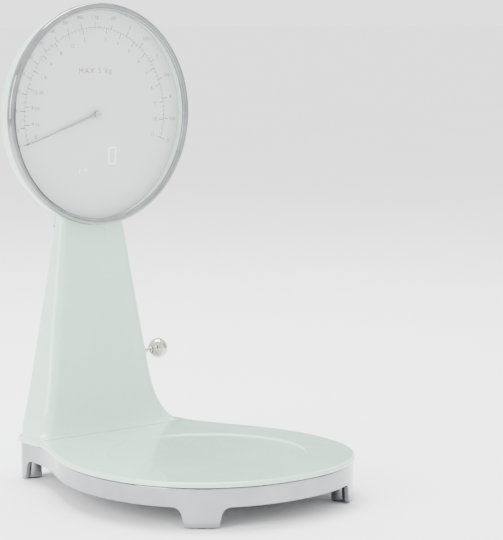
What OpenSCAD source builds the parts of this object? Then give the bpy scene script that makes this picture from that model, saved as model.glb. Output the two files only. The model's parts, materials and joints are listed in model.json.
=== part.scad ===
// Kitchen scale with a round dial on a tapered column.
// The working axes start under the centre of the platter's seat: -Y is the front, +Z is up.
// placed() moves them so that the origin is at the middle of the whole scale's footprint.

/* [Base] */
// Half width of the rounded front of the base
base_r = 107; // [95:0.5:130]
// Squareness of the rounded front, where 2 is a true ellipse
base_square = 2.2; // [2:0.05:2.6]
// Half width of the base behind its waist
back_hw = 72; // [60:0.5:80]
// Distance from the seat's centre to the back of the base
back_y = 154; // [135:0.5:190]
// Radius of the two back corners
corner_r = 16; // [10:0.5:20]
// Height of the legs under the band
leg_h = 15.5; // [12:0.25:22]
// Height of the polished band
band_h = 14.25; // [13:0.25:20]
// Wall of the band
ring_wall = 3.2; // [2.5:0.1:4.5]
// Width of a leg where it stands
leg_w = 25; // [18:0.5:32]
// Radius of the hollow where a leg runs into the band
leg_hollow = 6.5; // [3:0.5:9]
// Angle of the front legs away from straight ahead
leg_angle = 41.5; // [35:0.5:50]
// Height that the rubber feet stand out of the legs
foot_proud = 1; // [0.5:0.1:2]

/* [Platter] */
// Overhang of the platter past the band
plate_over = 1.5; // [0.5:0.1:2.5]
// Thickness of the platter at its rim
plate_t = 3.55; // [3:0.05:5]
// Gap under the platter's rim
plate_gap = 0.7; // [0.6:0.05:1.2]
// Downward travel of the platter at full load
plate_travel = 0.4; // [0.2:0.05:0.5]
// Radius of the round seat for the bowl
seat_r = 74.8; // [60:0.2:85]
// Depth of the seat
seat_depth = 1; // [0.5:0.1:1.4]
// Distance from the seat's centre to the seam behind the platter
seam_y = 115; // [108:0.5:120]
// Width of that seam
seam_gap = 0.6; // [0.4:0.1:1]

/* [Column] */
// Distance from the seat's centre to the front face, carried down to the platter's level
front_y = 127.5; // [124:0.5:132]
// Distance from the seat's centre to the front face where it meets the dial
top_y = 141.8; // [128:0.2:143]
// Half width of the front face where it meets the dial
top_hw = 31.6; // [26:0.2:36]
// Half width of the column's back where it meets the dial
top_back_hw = 33.2; // [28:0.2:38]
// Half width of the front face, carried down to the platter's level
foot_hw = 53.6; // [44:0.2:55]
// Half width of the back, carried down to the platter's level
foot_back_hw = 65.6; // [52:0.2:67]
// Wall of the column
column_wall = 3; // [2.4:0.1:3.6]
// Radius of the column's front corners
column_round = 9; // [5:0.5:11]
// Radius of the column's back corners
back_round = 4; // [3.6:0.1:5]

/* [Dial] */
// Outer radius of the bezel
head_r = 87.5; // [72.5:0.5:105]
// Height of the dial's centre
head_z = 284.35; // [262:0.5:345]
// Distance from the seat's centre to the front of the bezel
head_y = 129.4; // [126:0.2:134]
// Distance from the bezel's front to the flat back of the housing
head_depth = 29.1; // [28:0.2:36]
// Radius of the housing's rounded back edge
head_round = 20; // [15:0.5:21]
// Wall of the housing
head_wall = 2.6; // [2:0.1:3]
// Width of the bezel seen from the front
bezel_w = 5.7; // [4.5:0.1:7]
// Thickness of the dial's glass
glass_t = 1.8; // [1.5:0.1:2]
// Gap between the pointer's tip and the bezel
tip_gap = 10.3; // [4:0.1:20]
// Direction of the pointer at zero, anticlockwise from the right
pointer_zero = 198; // [180:1:210]

/* [Lever] */
// Diameter of the ball on the lever
knob_d = 16; // [12:0.5:20]
// Diameter of the lever's rod
rod_d = 3; // [2.5:0.1:4]
// Height of the lever's pivot
lever_z = 88; // [80:0.5:110]
// Distance from the lever's pivot to the ball's centre
lever_len = 33; // [30:0.5:38]
// Swing of the lever each way
lever_swing = 6; // [3:0.5:7]

/* [Hidden] */
$fn = 64;

mint = [0.84, 0.91, 0.87];
chrome = [0.78, 0.78, 0.8];
steel = [0.66, 0.67, 0.69];
dark = [0.2, 0.2, 0.21];
white = [0.93, 0.93, 0.92];
brass = [0.8, 0.66, 0.36];
green = [0.13, 0.36, 0.22];

// Levels of the base, from the table up.
band_top = leg_h + band_h;
floor_z = leg_h + 0.5;
floor_t = 2.4;
ledge_z = floor_z + floor_t;
ledge_t = 2;
ledge_w = 13;
rim_z = band_top + plate_gap;
plate_top = rim_z + plate_t;
// Fine clearances: a screw in its hole, and a part laid into a recess.
screw_gap = 0.1;
fit_gap = 0.3;

// Whole-scale box, which sets the origin.
crown = 1.5;
shell_back = head_y + head_depth;
scale_front = base_r + plate_over;
scale_back = shell_back + crown;
shift_y = (scale_front - scale_back) / 2;
module placed() {
    translate([0, shift_y, 0]) children();
}

// ---------- outlines ----------
function arc(c, r, a0, a1, n) = [for (i = [0:n]) let (a = a0 + (a1 - a0) * i / n) c + r * [cos(a), sin(a)]];
function power(v, e) = sign(v) * pow(abs(v), e);
// Rounded front of the base: a superellipse, from straight ahead round to the angle a1.
function front_arc(r, a1, n) = [for (i = [0:n]) let (a = -90 + (a1 + 90) * i / n)
    r * [power(cos(a), 2 / base_square), power(sin(a), 2 / base_square)]];
function bezier(a, b, c, d, n) = [for (i = [1:n - 1]) let (t = i / n, u = 1 - t)
    u * u * u * a + 3 * u * u * t * b + 3 * u * t * t * c + t * t * t * d];
function mirrored(p) = concat(p, [for (i = [len(p) - 1:-1:0]) if (p[i][0] > 0.01) [-p[i][0], p[i][1]]]);
// Moves each point of an anticlockwise outline inwards by d.
function inset(p, d) = [for (i = [0:len(p) - 1])
    let (a = p[(i + len(p) - 1) % len(p)], b = p[(i + 1) % len(p)], t = (b - a) / norm(b - a))
    p[i] + d * [-t[1], t[0]]];

// Half outline of the base: the front, a waist on each side, then the back corner.
waist_angle = 12;
waist_y = back_y - corner_r - 14;
waist_front = front_arc(base_r, waist_angle, 30);
waist_start = waist_front[30];
waist_end = [back_hw + 1, waist_y];
waist_dir = (waist_front[30] - waist_front[29]) / norm(waist_front[30] - waist_front[29]);
waist_run = waist_y - waist_start[1];
half_outline = concat(
    waist_front,
    bezier(waist_start, waist_start + 0.43 * waist_run * waist_dir,
        waist_end + 0.34 * waist_run * [0.08, -1], waist_end, 12),
    [waist_end],
    arc([back_hw - corner_r, back_y - corner_r], corner_r, 0, 90, 8));
outline = mirrored(half_outline);

// ---------- general shapes ----------
// Solid through a stack of rings, each a list of points in space with the same count.
module loft(rings) {
    n = len(rings[0]);
    m = len(rings);
    sides = [for (j = [0:m - 2], i = [0:n - 1]) let (k = (i + 1) % n)
        each [[j * n + i, (j + 1) * n + i, j * n + k], [j * n + k, (j + 1) * n + i, (j + 1) * n + k]]];
    polyhedron([for (r = rings) each r], concat(sides,
        [[for (i = [0:n - 1]) i], [for (i = [n - 1:-1:0]) (m - 1) * n + i]]));
}
// The same stack as a wall with open ends, between outer rings and inner rings.
module wall_loft(outer, inner) {
    n = len(outer[0]);
    m = len(outer);
    h = n * m;
    walls = [for (j = [0:m - 2], i = [0:n - 1]) let (k = (i + 1) % n, a = j * n, b = a + n)
        each [[a + i, b + i, a + k], [a + k, b + i, b + k],
            [h + a + i, h + a + k, h + b + i], [h + a + k, h + b + k, h + b + i]]];
    ends = [for (i = [0:n - 1]) let (k = (i + 1) % n, t = h - n)
        each [[i, k, h + i], [k, h + k, h + i],
            [t + i, h + t + i, t + k], [t + k, h + t + i, h + t + k]]];
    polyhedron([for (r = concat(outer, inner)) each r], concat(walls, ends));
}
function at_z(p, z) = [for (q = p) [q[0], q[1], z]];
// Slab with the outline p, and its top edge rounded to the radius r.
module slab(p, z0, z1, r) {
    steps = 5;
    loft(concat([at_z(inset(p, 0.4), z0), at_z(p, z0 + 0.4)],
        [for (i = [0:steps]) let (a = 90 * i / steps)
            at_z(inset(p, r * (1 - cos(a))), z1 - r + r * sin(a))]));
}
// Turns a shape drawn in X and Z into a plate between two distances y0 and y1.
module upright(y0, y1) {
    translate([0, y1, 0]) rotate([90, 0, 0]) linear_extrude(y1 - y0) children();
}
// A shape turned about the dial's axis: drawn with radius along X and distance along Y.
module turned(n = 180) {
    translate([0, 0, head_z]) rotate([-90, 0, 0]) rotate_extrude($fn = n) children();
}
// A rod along Y at the dial, at (x, z) from its centre.
module head_rod(x, z, r, y0, y1, sides = 48) {
    translate([x, y0, head_z + z]) rotate([-90, 0, 0]) cylinder(r = r, h = y1 - y0, $fn = sides);
}
// Pan-head screw with a hexagon socket: the head's seat is at 0 and the shank points down.
module screw(r, len, head_r, head_h) {
    difference() {
        union() {
            cylinder(r = head_r, h = head_h);
            translate([0, 0, -len]) cylinder(r = r, h = len);
        }
        translate([0, 0, head_h * 0.4]) cylinder(r = head_r * 0.45, h = head_h, $fn = 6);
    }
}
module each_at(places) {
    for (p = places) translate(p) children();
}
module both_sides() {
    children();
    mirror([1, 0, 0]) children();
}

// ---------- base ----------
post_r = 7;
front_reach = base_r / pow(pow(sin(leg_angle), base_square) + pow(cos(leg_angle), base_square),
    1 / base_square);
front_leg = (front_reach - ring_wall - post_r + 1) * [sin(leg_angle), -cos(leg_angle)];
back_leg = [back_hw - corner_r, back_y - corner_r]
    + (corner_r - ring_wall - post_r + 1) * [cos(45), sin(45)];
pad_r = 5.5;
pad_t = 2.5;
leg_places = [for (p = [front_leg, back_leg], s = [-1, 1]) [s * p[0], p[1], 0]];
plate_screw_r = base_r - ring_wall - 5.3;
plate_screw_places = [for (a = [-180, -90, 0]) plate_screw_r * [cos(a), sin(a), 0]];
column_screw_places = [for (s = [-1, 1], q = [[back_hw - 9, seam_y + 7], [30, back_y - 7.2]])
    [s * q[0], q[1], 0]];
column_boss_r = 3;

// Side view of one leg with its two hollows, standing on 0 and ending under the band. The hollows' thin
// ends are left off.
module leg_profile() {
    root = leg_w / 2 + leg_hollow;
    half = root - 0.4 * leg_hollow;
    difference() {
        translate([-half, foot_proud]) square([2 * half, leg_h - foot_proud]);
        for (s = [-1, 1]) {
            translate([s * root, leg_h - leg_hollow]) circle(r = leg_hollow);
            translate([s * root - leg_hollow, foot_proud - 1])
                square([2 * leg_hollow, leg_h - leg_hollow - foot_proud + 1]);
        }
    }
}
// The leg's side view carried outwards from a point along an angle.
module leg_block(from, angle, reach) {
    translate([from[0], from[1], 0]) rotate([0, 0, angle]) rotate([90, 0, 90])
        linear_extrude(reach) leg_profile();
}
module base_ring() {
    placed() color(chrome) difference() {
        union() {
            translate([0, 0, leg_h]) linear_extrude(band_h) difference() {
                polygon(outline);
                polygon(inset(outline, ring_wall));
            }
            translate([0, 0, ledge_z]) linear_extrude(ledge_t) difference() {
                polygon(inset(outline, ring_wall - 0.5));
                polygon(inset(outline, ledge_w));
                // The ledge is open round the battery bay.
                translate([0, bay_y]) square([2 * bay_open_hw, 2 * bay_open_hd], center = true);
            }
        }
        each_at(plate_screw_places) cylinder(r = 1.5 + screw_gap, h = band_top);
        each_at(column_screw_places) cylinder(r = 1.5 + screw_gap, h = band_top);
    }
}
// Four legs under the band. Each has a round post inside it that reaches up to the ledge.
module base_legs() {
    placed() color(chrome) difference() {
        union() {
            difference() {
                intersection() {
                    linear_extrude(leg_h) polygon(outline);
                    for (s = [-1, 1]) {
                        leg_block([0, 0], -90 + s * leg_angle, base_r * 1.2);
                        leg_block([s * (back_hw - corner_r), back_y - corner_r],
                            90 - s * 45, corner_r + 4);
                    }
                }
                translate([0, 0, -1]) linear_extrude(leg_h + 2) polygon(inset(outline, ring_wall));
            }
            intersection() {
                linear_extrude(leg_h) polygon(inset(outline, 0.5));
                each_at(leg_places) translate([0, 0, foot_proud])
                    cylinder(r = post_r, h = leg_h - foot_proud);
            }
            intersection() {
                linear_extrude(ledge_z) polygon(inset(outline, ring_wall + fit_gap));
                each_at(leg_places) translate([0, 0, foot_proud])
                    cylinder(r = post_r, h = ledge_z - foot_proud);
            }
        }
        each_at(leg_places) cylinder(r = pad_r + screw_gap, h = pad_t);
    }
}
module foot_pads() {
    placed() color(dark) each_at(leg_places) cylinder(r = pad_r, h = pad_t);
}

// Battery bay, under the column's foot.
bay_y = back_y - 23;
cell_r = 5.25;
cell_len = 44.5;
bay_hw = cell_len + 3.6;
bay_hd = 2 * cell_r + 0.5;
bay_wall = 1.4;
bay_open_hw = bay_hw + bay_wall + fit_gap;
bay_open_hd = bay_hd + bay_wall + fit_gap;
bay_top = ledge_z + 2 * cell_r + 2.2;
cell_axis_z = ledge_z + 0.4 + cell_r;
rail_drop = 3;
door_t = 1.6;
door_slide = 2 * bay_hd + 3;

// Load cell: fixed to the floor behind the centre, carrying the platter in front of it.
bar_l = 60;
bar_w = 12;
bar_t = 6;
spacer_t = 2;
bar_z = ledge_z + spacer_t;
bar_hole_y = 23;
bar_hole_pitch = 8;
fixed_places = [[0, bar_hole_y, 0], [0, bar_hole_y - bar_hole_pitch, 0]];
free_places = [[0, -bar_hole_y, 0], [0, -bar_hole_y + bar_hole_pitch, 0]];
platform_spacer_t = 1.2;
carrier_z = bar_z + bar_t + platform_spacer_t;
carrier_t = rim_z - 1.2 - carrier_z;
stop_places = [for (x = [-46, 46], y = [-34, 34]) [x, y, 0]];

module base_plate() {
    placed() color(dark) difference() {
        union() {
            translate([0, 0, floor_z]) linear_extrude(floor_t)
                polygon(inset(outline, ring_wall + fit_gap));
            translate([-bay_hw - bay_wall, bay_y - bay_hd - bay_wall, floor_z])
                cube([2 * (bay_hw + bay_wall), 2 * (bay_hd + bay_wall), bay_top - floor_z]);
            for (s = [-1, 1]) {
                translate([s * (bay_hw + 3.4) - 1, bay_y - bay_hd - door_slide - 1, floor_z - rail_drop])
                    cube([2, 2 * bay_hd + door_slide + 2, rail_drop + 0.5]);
                translate([s * (bay_hw + 2.2) - 2, bay_y - bay_hd - door_slide - 1, floor_z - rail_drop])
                    cube([4, 2 * bay_hd + door_slide + 2, 0.8]);
            }
        }
        translate([-bay_hw, bay_y - bay_hd, floor_z - 1])
            cube([2 * bay_hw, 2 * bay_hd, bay_top - bay_wall - floor_z + 1]);
        each_at(leg_places) cylinder(r = post_r + fit_gap, h = ledge_z + 1);
        each_at(plate_screw_places) cylinder(r = 1.5 + screw_gap, h = ledge_z + 1);
        each_at(column_screw_places) cylinder(r = 3.2, h = ledge_z + 1);
        each_at(fixed_places) cylinder(r = 2 + screw_gap, h = ledge_z + 1);
    }
}
module base_plate_screws() {
    placed() color(steel) each_at(plate_screw_places) translate([0, 0, floor_z])
        mirror([0, 0, 1]) screw(1.5, ledge_t + floor_t, 2.8, 1.6);
}
module column_screws() {
    placed() color(steel) each_at(column_screw_places) translate([0, 0, ledge_z])
        mirror([0, 0, 1]) screw(1.5, ledge_t + 6, 2.8, 1.8);
}
module battery_door() {
    placed() color(dark) difference() {
        translate([-bay_hw - 2, bay_y - bay_hd - 1, floor_z - fit_gap - door_t])
            cube([2 * bay_hw + 4, 2 * bay_hd + 2, door_t]);
        for (i = [-2:2]) translate([-9, bay_y - 6 + 2 * i, floor_z - fit_gap - door_t - 0.5])
            cube([18, 0.9, 1]);
    }
}
module batteries() {
    placed() color("olivedrab") for (sx = [-1, 1], sy = [-1, 1])
        translate([sx * (cell_len / 2 + 0.4), bay_y + sy * (cell_r + 0.1), cell_axis_z])
            rotate([0, sx * sy * 90, 0]) translate([0, 0, -cell_len / 2]) {
                cylinder(r = cell_r, h = cell_len - 1);
                cylinder(r = 1.9, h = cell_len);
            }
}
module battery_contacts() {
    placed() color(steel) for (sx = [-1, 1], sy = [-1, 1])
        translate([sx * (bay_hw - 0.5), bay_y + sy * (cell_r + 0.1), cell_axis_z])
            cube([0.6, 7.5, 7.5], center = true);
}
module load_cell() {
    placed() color([0.75, 0.76, 0.78]) difference() {
        translate([-bar_w / 2, -bar_l / 2, bar_z]) cube([bar_w, bar_l, bar_t]);
        for (y = [-3.5, 3.5]) translate([-bar_w, y, bar_z + bar_t / 2]) rotate([0, 90, 0])
            cylinder(r = 2.2, h = 2 * bar_w);
        each_at(fixed_places) cylinder(r = 2 + screw_gap, h = 60);
        each_at(free_places) cylinder(r = 2 + screw_gap, h = 60);
    }
}
module cell_pad(places, z, t) {
    difference() {
        translate([-bar_w / 2, places[0][1] < 0 ? -bar_l / 2 : bar_l / 2 - 19, z])
            cube([bar_w, 19, t]);
        each_at(places) cylinder(r = 2 + screw_gap, h = 60);
    }
}
module cell_spacer() {
    placed() color(steel) cell_pad(fixed_places, ledge_z, spacer_t);
}
module platform_spacer() {
    placed() color(steel) cell_pad(free_places, bar_z + bar_t, platform_spacer_t);
}
module cell_screws() {
    placed() color(steel) each_at(fixed_places) translate([0, 0, floor_z])
        mirror([0, 0, 1]) screw(2, floor_t + spacer_t + bar_t - 1, 3.5, 1.6);
}
module platform_cell_screws() {
    placed() color(steel) each_at(free_places) translate([0, 0, carrier_z + carrier_t - 0.8])
        screw(2, carrier_t - 0.8 + platform_spacer_t + bar_t - 1, 3.5, 0.8);
}
module overload_stops() {
    placed() color(dark) each_at(stop_places) translate([0, 0, ledge_z])
        cylinder(r = 4, h = carrier_z - ledge_z - plate_travel - 0.1);
}

// ---------- platform ----------
carrier_screw_places = [for (x = [-58, 58], y = [-38, 38]) [x, y, 0]];
platter_outline = inset(outline, -plate_over);
module platter() {
    placed() color(mint) difference() {
        slab(platter_outline, rim_z, plate_top, 2.4);
        translate([-150, seam_y - seam_gap / 2, 0]) cube([300, 100, 60]);
        translate([0, 0, plate_top - seat_depth]) cylinder(r = seat_r, h = 5, $fn = 180);
        difference() {
            translate([0, 0, rim_z - 1]) cylinder(r = seat_r + 18, h = 2.2, $fn = 180);
            each_at(carrier_screw_places) cylinder(r = 6, h = 60);
        }
        each_at(carrier_screw_places) cylinder(r = 1.25 + screw_gap, h = rim_z + 1.6);
    }
}
module platter_carrier() {
    placed() color(steel) difference() {
        union() {
            translate([0, 0, carrier_z]) linear_extrude(carrier_t) difference() {
                square([136, 96], center = true);
                for (sx = [-1, 1], sy = [-1, 1]) translate([sx * 24, sy * 22]) circle(r = 9);
            }
            each_at(carrier_screw_places) translate([0, 0, carrier_z]) cylinder(r = 6, h = rim_z - carrier_z);
        }
        each_at(carrier_screw_places) cylinder(r = 1.25 + screw_gap, h = 60);
        each_at(free_places) cylinder(r = 2 + screw_gap, h = 60);
        each_at(free_places) translate([0, 0, carrier_z + carrier_t - 0.8]) cylinder(r = 3.8, h = 9);
    }
}
module carrier_screws() {
    placed() color(steel) each_at(carrier_screw_places) translate([0, 0, carrier_z])
        mirror([0, 0, 1]) screw(1.25, rim_z - carrier_z + 1.2, 2.6, 1.4);
}

// ---------- column ----------
// The front and side faces sweep out into the foot along quarter ellipses.
foot_rise = 30;
side_rise = 45;
back_rise = 30;
side_flare = 17.5;
back_flare = 5.5;
corner_rise = 13;
function sweep(z, rise, reach) = let (u = max(0, 1 - (z - plate_top) / rise)) reach * (1 - sqrt(1 - u * u));
neck_z = head_z - head_r - 7;
lean = (top_y - front_y) / (neck_z - plate_top);
front_taper = (foot_hw - top_hw) / (neck_z - plate_top);
back_taper = (foot_back_hw - top_back_hw) / (neck_z - plate_top);
function column_front(z) = front_y + lean * (z - plate_top)
    - sweep(z, foot_rise, front_y - seam_y - seam_gap / 2 - 0.6);
function front_hw(z) = top_hw + front_taper * (neck_z - z) + sweep(z, side_rise, side_flare);
function back_hw_at(z) = top_back_hw + back_taper * (neck_z - z) + sweep(z, back_rise, back_flare);
function corner(a, v, b, r, n) = let (
    u = (a - v) / norm(a - v), w = (b - v) / norm(b - v), turn = acos(u * w),
    c = v + (u + w) / norm(u + w) * r / sin(turn / 2), s = v + u * r / tan(turn / 2) - c,
    a0 = atan2(s[1], s[0]))
    arc(c, r, a0, a0 + 180 - turn, n);
// Points between two others, which split their straight line into n.
function between(a, b, n) = [for (i = [1:n - 1]) a + (b - a) * i / n];
// Cross-section of the column at the height z, moved in by d. The corners shrink where it is thin.
function section(z, d) = let (
    w = front_hw(z), v = back_hw_at(z), y0 = column_front(z), y1 = column_back,
    r0 = min(column_round, 0.5 * (y1 - y0)),
    r1 = min(back_round, 0.36 * (y1 - y0)) + sweep(z, corner_rise, corner_r - back_round),
    p = [[-w, y0], [w, y0], [v, y1], [-v, y1]],
    c = [corner(p[3], p[0], p[1], r0, 6), corner(p[0], p[1], p[2], r0, 6),
        corner(p[1], p[2], p[3], r1, 4), corner(p[2], p[3], p[0], r1, 4)])
    at_z(inset(concat(c[0], between(c[0][6], c[1][0], 8), c[1], c[2],
        between(c[2][4], c[3][0], 8), c[3]), d), z);
column_back = back_y - 0.5;
// The top end of the column is a saddle just clear of the round housing that sits in it.
function drum_radius(y) = drum_r - head_round
    + sqrt(pow(head_round, 2) - pow(max(0, y - shell_back + head_round), 2));
function saddle(p) = [for (q = p)
    [q[0], q[1], head_z - sqrt(pow(drum_radius(q[1]) + 0.1, 2) - q[0] * q[0])]];
function column_rings(d) = concat([at_z(section(plate_top, d), plate_top - 1)],
    [for (z = column_levels) section(z, d)], [saddle(section(neck_z + 14, d))]);
column_levels = concat([for (i = [0:9]) plate_top + side_rise * pow(i / 9, 2)],
    [for (i = [1:4]) plate_top + side_rise + (neck_z - plate_top - side_rise) * i / 4]);
cover_low = plate_top + corner_rise + 2;
cover_high = neck_z - 10;
cover_t = 2.5;
cover_levels = [for (i = [0:8]) cover_low + (cover_high - cover_low) * i / 8];
cover_screws = [[47, cover_low + 12], [21, cover_high - 8]];

// Outer shape of the dial's housing: a drum with a rounded back edge and a slight crown.
drum_r = head_r - 1.5;
drum_y0 = head_y + 4;
function drum_profile(d) = concat(
    [[0, drum_y0], [drum_r - d, drum_y0]],
    arc([drum_r - head_round, shell_back - head_round], head_round - d, 0, 84, 12),
    [for (i = [1:6]) let (u = 1 - i / 6) [u * (drum_r - head_round), shell_back - d + crown * (1 - u * u)]]);
module drum(d) {
    turned() polygon(drum_profile(d));
}

module column_foot() {
    intersection() {
        slab(platter_outline, band_top, plate_top, 2.4);
        translate([-150, seam_y + seam_gap / 2, 0]) cube([300, 100, 60]);
    }
}
lever_y = 143.3;
lever_inset = 18.2;
lever_pivot_x = (front_hw(lever_z) + back_hw_at(lever_z)) / 2 - lever_inset;
lever_tilt = 4;
slot_x = lever_pivot_x + lever_inset;
slot_half = rod_d / 2 + 22 * sin(lever_swing) + fit_gap;
module lever_slot() {
    translate([slot_x, lever_y, lever_z + 1.2]) rotate([0, 90, 0]) translate([0, 0, -14]) {
        for (s = [-1, 1]) translate([s * (slot_half - rod_d / 2 - fit_gap), 0, 0])
            cylinder(r = rod_d / 2 + fit_gap, h = 30);
        translate([-slot_half + rod_d / 2 + fit_gap, -rod_d / 2 - fit_gap, 0])
            cube([2 * (slot_half - rod_d / 2 - fit_gap), rod_d + 2 * fit_gap, 30]);
    }
}
neck_x = 18;
neck_places = [for (s = [-1, 1]) [s * neck_x, 146, 0]];
neck_boss_r = 3;
neck_boss_top = head_z - sqrt(pow(drum_r, 2) - pow(neck_x - neck_boss_r, 2)) - 0.1;
neck_seat = head_z - sqrt(pow(drum_r, 2) - neck_x * neck_x) + 3.4;
module column() {
    placed() color(mint) difference() {
        union() {
            difference() {
                union() {
                    column_foot();
                    wall_loft(column_rings(0), column_rings(column_wall));
                }
                // The opening that the rear cover fills.
                upright(column_back - column_wall - 1, column_back + 5) cover_shape(0);
                translate([-bay_open_hw, bay_y - bay_open_hd, band_top - 1])
                    cube([2 * bay_open_hw, 2 * bay_open_hd, 12]);
                lever_slot();
            }
            both_sides() for (q = cover_screws) translate([q[0], column_front(q[1]) + 1.2, q[1]])
                rotate([-90, 0, 0]) cylinder(r = 3.2, h = column_back - cover_t - column_front(q[1]) - 1.2);
            each_at(column_screw_places) translate([0, 0, ledge_z + ledge_t])
                cylinder(r = column_boss_r, h = plate_top - ledge_z - ledge_t - 1);
            each_at(neck_places) translate([0, 0, neck_z - 6])
                cylinder(r = neck_boss_r, h = neck_boss_top - neck_z + 6);
        }
        both_sides() for (q = cover_screws) translate([q[0], column_back - 9, q[1]])
            rotate([-90, 0, 0]) cylinder(r = 1.25 + screw_gap, h = 20);
        each_at(column_screw_places) cylinder(r = 1.5 + screw_gap, h = ledge_z + 10);
        each_at(neck_places) translate([0, 0, neck_z - 3]) cylinder(r = 1.25 + screw_gap, h = 30);
    }
}
// The rear opening and its cover, seen from behind, smaller by d.
module cover_shape(d) {
    polygon(concat(
        [for (z = cover_levels) [back_hw_at(z) - column_wall - 1.2 - d, z]],
        [for (i = [8:-1:0]) [-back_hw_at(cover_levels[i]) + column_wall + 1.2 + d, cover_levels[i]]]));
}
module rear_cover() {
    placed() color(mint) difference() {
        upright(column_back - cover_t, column_back) intersection() {
            cover_shape(fit_gap / 2);
            translate([-100, cover_low + fit_gap / 2]) square([200, cover_high - cover_low - fit_gap]);
        }
        both_sides() for (q = cover_screws) translate([q[0], column_back - 9, q[1]]) rotate([-90, 0, 0]) {
            cylinder(r = 1.25 + screw_gap, h = 20);
            translate([0, 0, 9 - 1.2]) cylinder(r = 2.9, h = 20);
        }
        for (z = bracket_screw_z) translate([bracket_flange_x, column_back - 9, z]) rotate([-90, 0, 0]) {
            cylinder(r = 1 + screw_gap, h = 20);
            translate([0, 0, 9 - 1]) cylinder(r = 2.3, h = 20);
        }
    }
}
module rear_cover_screws() {
    placed() color(steel) both_sides() for (q = cover_screws)
        translate([q[0], column_back - 1.2, q[1]]) rotate([-90, 0, 0]) screw(1.25, 7, 2.6, 1.1);
}
module neck_screws() {
    placed() color(steel) each_at(neck_places) translate([0, 0, neck_seat])
        screw(1.25, 8, 2.6, 1.5);
}

// ---------- dial ----------
spigot_gap = 0.3;
bezel_t = 1.5;
bezel_back = drum_y0 + 0.6;
glass_y = head_y + bezel_t;
glass_r = drum_r - 0.1;
gasket_y = glass_y + glass_t;
plate_y = head_y + 9.2;
dial_t = 1;
dial_r = drum_r - head_wall - 0.4;
frame_y = plate_y + dial_t;
frame_t = 2.5;
frame_screw_r = 60;
frame_screw_places = [for (a = [45:90:315]) frame_screw_r * [cos(a), sin(a)]];
boss_top = frame_y + frame_t;
motor_y = boss_top;
motor_t = 8;
display_w = 50;
display_h = 20;
display_t = 6;
display_x = -4;
display_z = -37;
arbor_r = 0.75;

module dial_housing() {
    placed() color(mint) difference() {
        union() {
            difference() {
                drum(0);
                turned() polygon(concat([[0, drum_y0 - 1], [drum_r - head_wall, drum_y0 - 1]],
                    arc([drum_r - head_round, shell_back - head_round], head_round - head_wall, 0, 84, 12),
                    [[0, shell_back - head_wall]]));
            }
            for (p = frame_screw_places)
                head_rod(p[0], p[1], 4, boss_top, shell_back - head_wall + 1);
        }
        for (p = frame_screw_places) head_rod(p[0], p[1], 1.25 + screw_gap, boss_top - 1, shell_back - 5);
        translate([-8, 144, neck_z]) cube([16, 6, 30]);
        each_at(neck_places) cylinder(r = 1.25 + screw_gap, h = head_z);
        each_at(neck_places) translate([0, 0, neck_seat]) cylinder(r = 3, h = 12);
    }
}
module bezel() {
    inner = head_r - bezel_w;
    skirt = drum_r + spigot_gap;
    placed() color(chrome) turned() polygon(concat(
        arc([head_r - 1.6, head_y + 1.6], 1.6, 0, -90, 6),
        arc([inner + 0.8, head_y + 0.8 + 0.2], 0.8, -90, -180, 4),
        [[inner, head_y + bezel_t], [skirt, head_y + bezel_t], [skirt, bezel_back], [head_r, bezel_back]]));
}
module dial_glass() {
    placed() color([0.8, 0.9, 0.95, 0.35]) turned()
        translate([0, glass_y]) square([glass_r, glass_t]);
}
module glass_gasket() {
    placed() color(dark) turned() translate([drum_r - head_wall, gasket_y])
        square([head_wall - 0.1, drum_y0 - gasket_y]);
}
module dial_plate() {
    placed() color(white) difference() {
        head_rod(0, 0, dial_r, plate_y, plate_y + dial_t, 180);
        head_rod(0, 0, 2, plate_y - 1, plate_y + dial_t + 1);
    }
}
module dial_frame() {
    placed() color(dark) difference() {
        union() {
            head_rod(0, 0, dial_r - 0.6, frame_y, frame_y + frame_t, 180);
            for (p = board_posts) head_rod(p[0], p[1], 2.6, frame_y, board_y);
        }
        head_rod(0, 0, 2, frame_y - 1, frame_y + 9);
        translate([display_x - display_w / 2 - 0.3, frame_y - 1, head_z + display_z - display_h / 2 - 0.3])
            cube([display_w + 0.6, 9, display_h + 0.6]);
        for (p = frame_screw_places) {
            head_rod(p[0], p[1], 1.25 + screw_gap, frame_y - 1, frame_y + 9);
            head_rod(p[0], p[1], 2.8, frame_y - 1, frame_y + 1.2);
        }
        for (p = board_posts) head_rod(p[0], p[1], 1 + screw_gap, board_y - 6, board_y + 1);
    }
}
module dial_frame_screws() {
    placed() color(steel) for (p = frame_screw_places)
        translate([p[0], frame_y + 1.2, head_z + p[1]]) rotate([90, 0, 0]) screw(1.25, 8, 2.5, 1.1);
}
module display_module() {
    placed() color(dark) translate([display_x - display_w / 2, frame_y, head_z + display_z - display_h / 2])
        cube([display_w, display_t, display_h]);
}

// Circuit board behind the motor and the display.
board_w = 70;
board_h = 60;
board_x = -2;
board_z = -19;
board_t = 1.6;
board_y = motor_y + motor_t + 0.6;
board_posts = [for (sx = [-1, 1], sy = [-1, 1])
    [board_x + sx * (board_w / 2 - 4), board_z + sy * (board_h / 2 - 4)]];
module main_board() {
    placed() color(green) difference() {
        union() {
            translate([board_x - board_w / 2, board_y, head_z + board_z - board_h / 2])
                cube([board_w, board_t, board_h]);
            translate([-24, board_y + board_t, head_z - 14]) cube([9, 1, 9]);
            translate([12, board_y + board_t, head_z - 30]) cube([7, 1, 5]);
        }
        for (p = board_posts) head_rod(p[0], p[1], 1 + screw_gap, board_y - 1, board_y + 5);
    }
}
module board_screws() {
    placed() color(steel) for (p = board_posts)
        translate([p[0], board_y + board_t, head_z + p[1]]) rotate([-90, 0, 0])
            screw(1, 5, 1.9, 0.9);
}

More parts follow.
